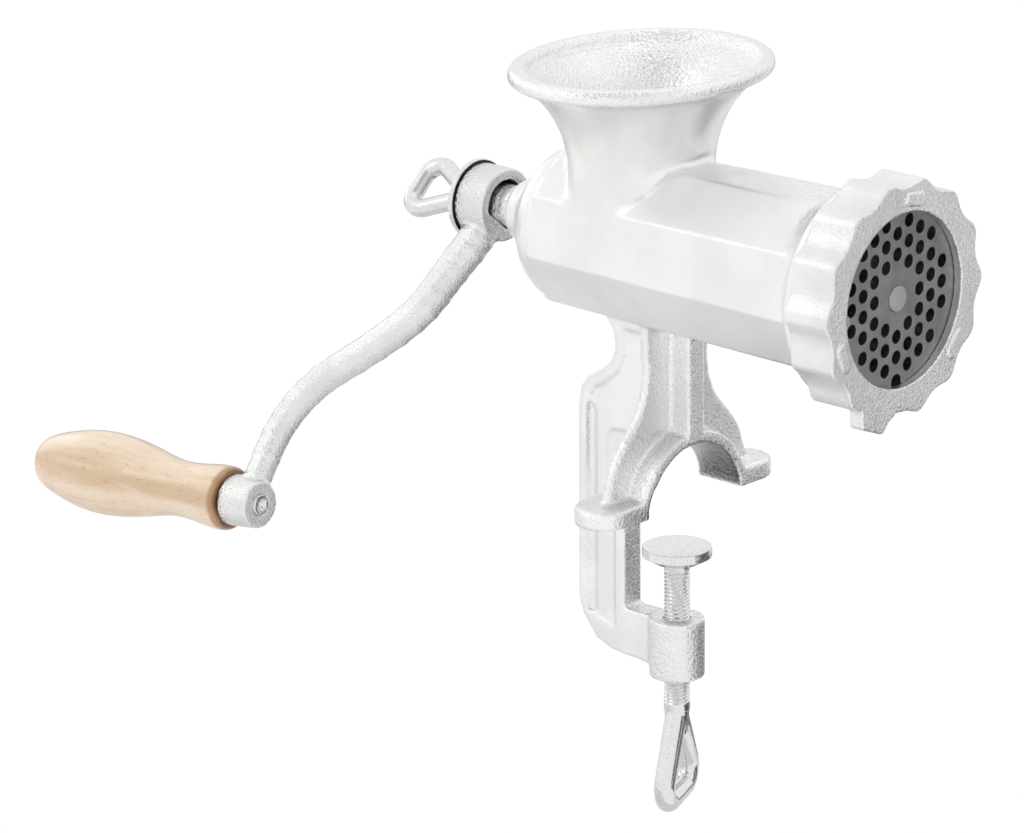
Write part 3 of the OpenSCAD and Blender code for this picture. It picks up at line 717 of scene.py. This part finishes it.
# The washer's finish has a painted shadow on its face towards the hub
washer_steel = polished_steel("washer_steel", smooth=0.20, scuffed=0.34, gap_shadow_from=HUB_GAP_SHADOW)
plate_steel = ground_steel("plate_steel", dark=(0.22, 0.22, 0.225), light=(0.29, 0.29, 0.29), rings=700.0)
stud_steel = ground_steel("stud_steel", dark=(0.44, 0.44, 0.44), light=(0.54, 0.54, 0.53), rings=600.0)
knife_steel = ground_steel("knife_steel", dark=(0.42, 0.42, 0.42), light=(0.55, 0.55, 0.54), rings=500.0)
beech = varnished_beech("varnished_beech", tuple(grip_frame.to_euler()), tuple(grip_frame.translation))
bronze = plain_bronze("bush_bronze")
nylon = white_nylon("washer_nylon")


# The body casting: hopper, barrel, stand and clamp frame in one piece

# Heights that part the casting: feet, ribs, stand, the barrel's upper half, hopper and rim
FEET_FROM = 0.002
FEET_TO = 0.016
RIBS_FROM = 0.014
RIBS_TO = 0.062
STAND_TOP = 0.066
UPPER_HALF = 0.095
HOPPER_FOOT = 0.120
RIM_FOOT = 0.158

# Along X: the barrel's ends without their edges, and the hopper's middle
BARREL_BACK = -0.046
BARREL_FRONT = 0.078
HOPPER_MID = -0.0174

# From the axis: outside the barrel's skin, and well clear of it
BARREL_SKIN = 0.0318
CLEAR_OF_BARREL = 0.036

# From the middle plane: the web's face, the web with its border, and the feet
WEB_FACE = 0.0052
WEB_BORDER = 0.008
FEET_INNER = 0.022

# How far points stand in or out at a casting's corners before they count as sharp
BODY_SHARP = 0.000045
RING_SHARP = 0.00003
ARM_SHARP = 0.00006
WORM_SHARP = 0.00005


def over_the_barrel(spot):
    along = (spot[:, 0] < BARREL_FRONT) & (spot[:, 0] > BARREL_BACK)
    return (from_axis(spot) > BARREL_SKIN) & along & (spot[:, 2] > UPPER_HALF)


def on_the_stand(spot):
    return (from_axis(spot) > CLEAR_OF_BARREL) & (spot[:, 2] < RIBS_TO) & (np.abs(spot[:, 1]) > WEB_FACE)


def on_the_feet(spot):
    return (np.abs(spot[:, 1]) > FEET_INNER) & (spot[:, 2] > FEET_FROM) & (spot[:, 2] < FEET_TO)


def on_the_ribs(spot):
    return (np.abs(spot[:, 1]) > WEB_FACE) & (spot[:, 2] > RIBS_FROM) & (spot[:, 2] < RIBS_TO)


def rubbed_walls(mesh):
    """1 on the barrel's and hopper's outer walls and on the web, which were rubbed down, 0 elsewhere."""
    facing = 0.9
    spot = points_of(mesh, "co")
    out = points_of(mesh, "normal")
    height = spot[:, 2]
    outward = (spot[:, 0] - HOPPER_MID) * out[:, 0] + spot[:, 1] * out[:, 1] > 0.0
    walls = (height > STAND_TOP) & ((height < HOPPER_FOOT) | (outward & (height < RIM_FOOT)))
    sideways = (np.abs(out[:, 1]) > facing) & (np.abs(spot[:, 1]) < WEB_BORDER)
    web = sideways & (spot[:, 0] < 0.0) & (height < STAND_TOP)
    return (walls | web).astype(float)[:, None]


casting = cast_copy("body_casting", grain=0.00075, rounds=5, most=LARGE, corners=[
    dict(label="barrel", sharp=BODY_SHARP, rows=7, keep=over_the_barrel, passes=200),
    dict(label="stand", sharp=BODY_SHARP, rows=2, keep=on_the_stand, passes=12),
    dict(label="feet", sharp=-BODY_SHARP, rows=3, keep=on_the_feet, passes=40),
    dict(label="ribs", sharp=-BODY_SHARP, rows=2, keep=on_the_ribs, passes=10),
])
rub_down(casting, rubbed_walls(casting.data))
put_on(casting, "body_casting_tinned", "casting", ["body_casting"], body_tin)


# The ring nut that holds the plate, its sides rubbed down a little

RING_BORE = 0.033
SIDE_FACING = 0.6
SIDE_RUB = 0.6


def outside_the_bore(spot):
    return from_axis(spot) > RING_BORE


ring = cast_copy("ring_nut", grain=0.00045, rounds=4, most=LARGE, corners=[
    dict(label="ring", sharp=RING_SHARP, rows=2, keep=outside_the_bore, passes=12),
])
ring_out = points_of(ring.data, "normal")
rub_down(ring, np.where(np.abs(ring_out[:, 0]) < SIDE_FACING, SIDE_RUB, 0.0)[:, None])
put_on(ring, "ring_nut_cast", "ring", ["ring_nut"], ring_tin)


# The crank: hub, bent arm and handle boss

# The hub's hollow corners lie this far from the axis, and the boss's this far from its middle
HUB_ZONE = (0.0125, 0.022)
BOSS_ZONE = (0.006, 0.016)


def at_hub_or_boss(spot):
    hub = from_axis(spot)
    boss = np.linalg.norm(spot - np.array(handle_frame.translation), axis=1)
    at_hub = (hub > HUB_ZONE[0]) & (hub < HUB_ZONE[1])
    return at_hub | ((boss < BOSS_ZONE[1]) & (boss > BOSS_ZONE[0]))


arm = cast_copy("crank_arm", grain=0.0006, rounds=5, most=MIDDLING, corners=[
    dict(label="arm", sharp=ARM_SHARP, rows=3, keep=at_hub_or_boss, passes=30),
])
put_on(arm, "crank_arm_cast", "crank", ["crank_arm"], crank_tin)


# The feed screw inside the barrel

WORM_BACK = -0.05


def before_the_journal(spot):
    return spot[:, 0] > WORM_BACK


worm = cast_copy("feed_screw", grain=0.0008, rounds=6, most=MIDDLING, corners=[
    dict(label="worm", sharp=WORM_SHARP, rows=3, keep=before_the_journal, passes=20),
])
put_on(worm, "feed_screw_cast", "crank", ["feed_screw"], screw_tin)


# Plate, knife, stud and the small machined pieces: solid, eased edge, name, body, finish and slot

for solid, edge, name, body, finish, slot in (
    ("plate", 0.00025, "plate_drilled", "drilled_plate", plate_steel, "tool_steel"),
    ("knife", 0.0003, "knife_ground", "crank", knife_steel, "tool_steel"),
    ("knife_stud", 0.0005, "knife_stud_turned", "crank", stud_steel, "bright_steel"),
    ("plate_key", 0.0003, "plate_key_pin", "casting", bright_steel, "bright_steel"),
    ("rear_bush", 0.0003, "rear_bush_turned", "casting", bronze, "bronze"),
    ("thrust_washer", 0.0003, "thrust_washer_nylon", "casting", nylon, "nylon"),
    ("crank_washer", 0.0003, "crank_washer_pressed", "hub_washer", washer_steel, "bright_steel"),
    ("handle_pin", 0.0004, "handle_pin_riveted", "crank", bright_steel, "bright_steel"),
    ("handle_washer", 0.0002, "handle_washer_pressed", "crank", bright_steel, "bright_steel"),
    ("clamp_pad", 0.0005, "clamp_pad_swivel", "clamp_foot", bright_steel, "bright_steel"),
):
    put_on(eased_copy(solid, edge), name, body, [solid], finish)


# The wooden grip, turned with its bore and with a recess for the pin's head at its free end

GRIP_LEN = 97.4 * MM
GRIP_BORE = 4.4 * MM
RECESS_R = 6.5 * MM
RECESS_LEN = 5.2 * MM
# Along the grip in shares of its length, and the radius there in millimetres
GRIP_OUTLINE = (
    (0.045, 12.4), (0.08, 12.25), (0.13, 11.65), (0.19, 10.9), (0.25, 10.6), (0.31, 11.0), (0.37, 12.05),
    (0.44, 13.6), (0.52, 15.05), (0.60, 15.95), (0.67, 16.2), (0.74, 15.9), (0.81, 14.9), (0.88, 13.3),
    (0.935, 11.8), (0.972, 10.4), (0.993, 9.2),
)
inner_end = [(0.0, GRIP_BORE), (0.0, 10.2 * MM), (0.3 * MM, 11.4 * MM), (1.6 * MM, 12.3 * MM)]
outline = [(share * GRIP_LEN, radius * MM) for share, radius in GRIP_OUTLINE]
free_end = [(GRIP_LEN, 8.2 * MM), (GRIP_LEN, 6.6 * MM)]
recess = [(GRIP_LEN - 0.6 * MM, RECESS_R), (GRIP_LEN - 4.8 * MM, RECESS_R),
    (GRIP_LEN - RECESS_LEN, 6.3 * MM), (GRIP_LEN - RECESS_LEN, 4.6 * MM)]
bore = [(GRIP_LEN - 6.0 * MM, GRIP_BORE), (0.5 * GRIP_LEN, GRIP_BORE), (0.0, GRIP_BORE)]
grip = turned(inner_end + outline + free_end + recess + bore, closed=True, levels=2)
place(grip, grip_frame)
smooth_shading(grip)
put_on(grip, "handle_grip_turned", "handle", ["handle_grip"], beech)


# The thumb screw behind the hub: a forged loop and neck, and a threaded rod

THUMB_START = -101.0 * MM - 0.2 * MM
THUMB_TURN = math.radians(43)
NECK_BACK = THUMB_START - 3 * MM
LOOP_SINK = 1 * MM
thumb_loop = bent_loop(half=9.75 * MM, length=26.3 * MM, rod=3.5 * MM, bend=5.8 * MM)
place(thumb_loop, Matrix.Translation((NECK_BACK + LOOP_SINK, 0, AXIS_H))
    @ Matrix.Rotation(THUMB_TURN, 4, "X") @ Matrix.Rotation(math.radians(90), 4, "Y"))
thumb_neck = turned([(NECK_BACK - 1.5 * MM, END_HOLE), (NECK_BACK - 1.5 * MM, 5.0 * MM),
    (NECK_BACK, 6.7 * MM), (THUMB_START - 0.5 * MM, 7.0 * MM), (THUMB_START, 6.5 * MM),
    (THUMB_START, END_HOLE)])
place(thumb_neck, TO_AXIS)
thumb_head = forged(thumb_loop, thumb_neck)
thumb_rod = threaded_rod(THUMB_START - 1 * MM, THUMB_START + 17 * MM, radius=4 * MM, pitch=1.25 * MM,
    depth=0.7 * MM, cut0=THUMB_START + 0.5 * MM, cut1=THUMB_START + 16 * MM)
place(thumb_rod, TO_AXIS)
edged_shading(thumb_rod, THREAD_SHADING)
thumb = joined(thumb_head, thumb_rod)
put_on(thumb, "thumb_screw_forged", "thumb", ["thumb_screw"], satin_steel)


# The clamp screw: a forged loop and neck, a threaded rod, and the nose that the pad swivels on

LOOP_TOP = -84.0 * MM
PAD_BOTTOM = -24.7 * MM
CLAMP_TURN = math.radians(-67 - 90)
NOSE_SINK = 0.8 * MM
rod_len = PAD_BOTTOM - LOOP_TOP
rod_place = Matrix.Translation((0, 0, LOOP_TOP)) @ UPRIGHT
clamp_loop = bent_loop(half=14.5 * MM, length=34 * MM, rod=4.0 * MM, bend=6.6 * MM)
place(clamp_loop, Matrix.Translation((0, 0, LOOP_TOP + LOOP_SINK)) @ Matrix.Rotation(CLAMP_TURN, 4, "Z"))
clamp_neck = turned([(-9 * MM, END_HOLE), (-9 * MM, 4.0 * MM), (-4 * MM, 4.4 * MM), (0.0, 4.7 * MM),
    (2.5 * MM, 4.8 * MM), (2.5 * MM, END_HOLE)])
place(clamp_neck, rod_place)
clamp_head = forged(clamp_loop, clamp_neck)
clamp_rod = threaded_rod(0.5 * MM, rod_len - 0.3 * MM, radius=4.9 * MM, pitch=1.5 * MM,
    depth=0.8 * MM, cut0=3.5 * MM, cut1=rod_len - 1.5 * MM)
place(clamp_rod, rod_place)
edged_shading(clamp_rod, THREAD_SHADING)
clamp_nose = turned([(0.0, END_HOLE), (0.0, 3.7 * MM), (4.0 * MM, 3.7 * MM), (4.4 * MM, 3.3 * MM),
    (4.4 * MM, END_HOLE)], NOSE_SIDES)
place(clamp_nose, Matrix.Translation((0, 0, PAD_BOTTOM - NOSE_SINK)) @ UPRIGHT)
edged_shading(clamp_nose, NOSE_SHADING)
clamp = joined(clamp_head, clamp_rod, clamp_nose)
put_on(clamp, "clamp_screw_forged", "clamp_handle", ["clamp_screw"], bright_steel)


# Floor, studio flags, sky, lamps and camera

FLOOR_Z = -0.146
FLOOR_SIZE = 9.0
FLOOR_GREY = 0.86
FLOOR_GLOW = 1.06
FLOOR_GLOW_SHARE = 0.80
SKY_LIGHT = 0.94
SKY_SEEN_MORE = 0.06


def white_for_the_eye(tree, strength):
    """The strength for rays from the camera and for those that metal mirrors, 0 for the rest."""
    path = node(tree, "ShaderNodeLightPath")
    seen = math_node(tree, "MAXIMUM", path.outputs["Is Camera Ray"], path.outputs["Is Glossy Ray"])
    seen = math_node(tree, "MAXIMUM", seen, path.outputs["Is Transmission Ray"])
    return times(tree, seen, strength)


def matt_paint(name, grey, rough):
    """Plain grey paint."""
    paint, tree, surface = new_finish(name)
    surface.inputs["Base Color"].default_value = (grey, grey, grey, 1)
    surface.inputs["Roughness"].default_value = rough
    return paint, tree, surface


let_go()
bpy.ops.mesh.primitive_plane_add(size=FLOOR_SIZE, location=(0, 0, FLOOR_Z))
floor = bpy.context.object
floor.name = "studio_floor"
settle(floor)
floor_paint, tree, surface = matt_paint("floor_paint", FLOOR_GREY, 0.8)
glow = node(tree, "ShaderNodeEmission")
glow.inputs["Strength"].default_value = FLOOR_GLOW
mixed = node(tree, "ShaderNodeMixShader")
tree.links.new(white_for_the_eye(tree, FLOOR_GLOW_SHARE), mixed.inputs[0])
tree.links.new(surface.outputs[0], mixed.inputs[1])
tree.links.new(glow.outputs[0], mixed.inputs[2])
tree.links.new(mixed.outputs[0], tree.nodes["Material Output"].inputs["Surface"])
floor.data.materials.append(floor_paint)


def dark_card(name, spot, aim, width, height, grey):
    """A studio flag that only shiny surfaces see."""
    let_go()
    bpy.ops.mesh.primitive_plane_add(size=1.0)
    card = bpy.context.object
    card.name = name
    card.scale = (width, height, 1)
    card.location = spot
    card.rotation_euler = (Vector(aim) - Vector(spot)).to_track_quat("Z", "Y").to_euler()
    settle(card)
    paint = matt_paint(name, grey, 0.9)[0]
    card.data.materials.append(paint)
    card.visible_camera = False
    card.visible_diffuse = False
    card.visible_shadow = False


# Name, place, point it faces, width, height and grey
FLAGS = (
    ("flag_right", (0.62, 0.70, -0.12), (0, 0, 0.05), 1.1, 0.6, 0.18),
    ("flag_behind", (-0.88, 0.56, 0.02), (-0.67, 0.316, 0.967), 1.3, 0.80, 0.40),
    ("flag_under", (-0.20, 0.03, -0.1455), (-0.20, 0.03, 0.5), 0.45, 0.40, 0.80),
    ("flag_low", (0.20, 0.23, -0.1455), (0.20, 0.23, 0.5), 0.32, 0.32, 0.09),
    ("flag_floor", (-0.08, 0.24, -0.1453), (-0.08, 0.24, 0.5), 0.30, 0.24, 0.25),
    ("flag_top", (0.27, -0.37, 0.98), (-0.02, 0.0, 0.15), 0.6, 0.6, 0.30),
    ("flag_arch", (0.0, 0.0, -0.001), (0, 0, 0.1), 0.036, 0.048, 0.08),
)
for flag in FLAGS:
    dark_card(*flag)

world = bpy.data.worlds.new("studio")
bpy.context.scene.world = world
world.use_nodes = True
tree = world.node_tree
sky = tree.nodes["Background"]
sky.inputs["Color"].default_value = (1, 1, 1, 1)
level = plus(tree, white_for_the_eye(tree, SKY_SEEN_MORE), SKY_LIGHT)
tree.links.new(level, sky.inputs["Strength"])


def soft_lamp(name, spot, aim, size, power):
    """A round lamp of some size, its power in watts."""
    light = bpy.data.lights.new(name, "AREA")
    light.shape = "DISK"
    light.size = size
    light.energy = power
    lamp = bpy.data.objects.new(name, light)
    bpy.context.scene.collection.objects.link(lamp)
    lamp.location = spot
    lamp.rotation_euler = (Vector(spot) - Vector(aim)).to_track_quat("Z", "Y").to_euler()


LAMP_AIM = (0, 0, 0.06)
soft_lamp("key", (-0.9, -1.5, 1.7), LAMP_AIM, size=1.3, power=3)
soft_lamp("top", (0.1, 0.5, 1.9), LAMP_AIM, size=1.2, power=1)
soft_lamp("left", (-1.8, 0.2, 0.5), LAMP_AIM, size=1.0, power=1.5)

# The camera that took the picture: the way it looks, its slight roll, and where it stands
LOOK_TURN = math.radians(42.702)
LOOK_TILT = math.radians(17.576)
LOOK_ROLL = math.radians(-0.417)
STAND_TURN = math.radians(40.977)
STAND_TILT = math.radians(15.318)
STAND_OFF = 2.100045
MIDDLE = Vector((0, 0, 0.1187))
LENS_MM = 202.52
SENSOR_MM = 36.0


def outwards(turn, tilt):
    """A direction turned round from the front and tilted up."""
    return Vector((math.sin(turn) * math.cos(tilt), -math.cos(turn) * math.cos(tilt), math.sin(tilt)))


def camera_axes():
    """Right, up and backward directions of the camera."""
    back = outwards(LOOK_TURN, LOOK_TILT)
    right = Vector((math.cos(LOOK_TURN), math.sin(LOOK_TURN), 0))
    up = back.cross(right)
    rolled_right = right * math.cos(LOOK_ROLL) + up * math.sin(LOOK_ROLL)
    rolled_up = up * math.cos(LOOK_ROLL) - right * math.sin(LOOK_ROLL)
    return rolled_right, rolled_up, back


lens = bpy.data.cameras.new("photo_camera")
lens.lens = LENS_MM
lens.sensor_width = SENSOR_MM
lens.sensor_fit = "HORIZONTAL"
lens.clip_end = 50.0
camera = bpy.data.objects.new("photo_camera", lens)
bpy.context.scene.collection.objects.link(camera)
stand = MIDDLE + STAND_OFF * outwards(STAND_TURN, STAND_TILT)
camera.matrix_world = Matrix.Translation(stand) @ Matrix(camera_axes()).transposed().to_4x4()
bpy.context.scene.camera = camera
bpy.context.scene.view_settings.view_transform = "Standard"
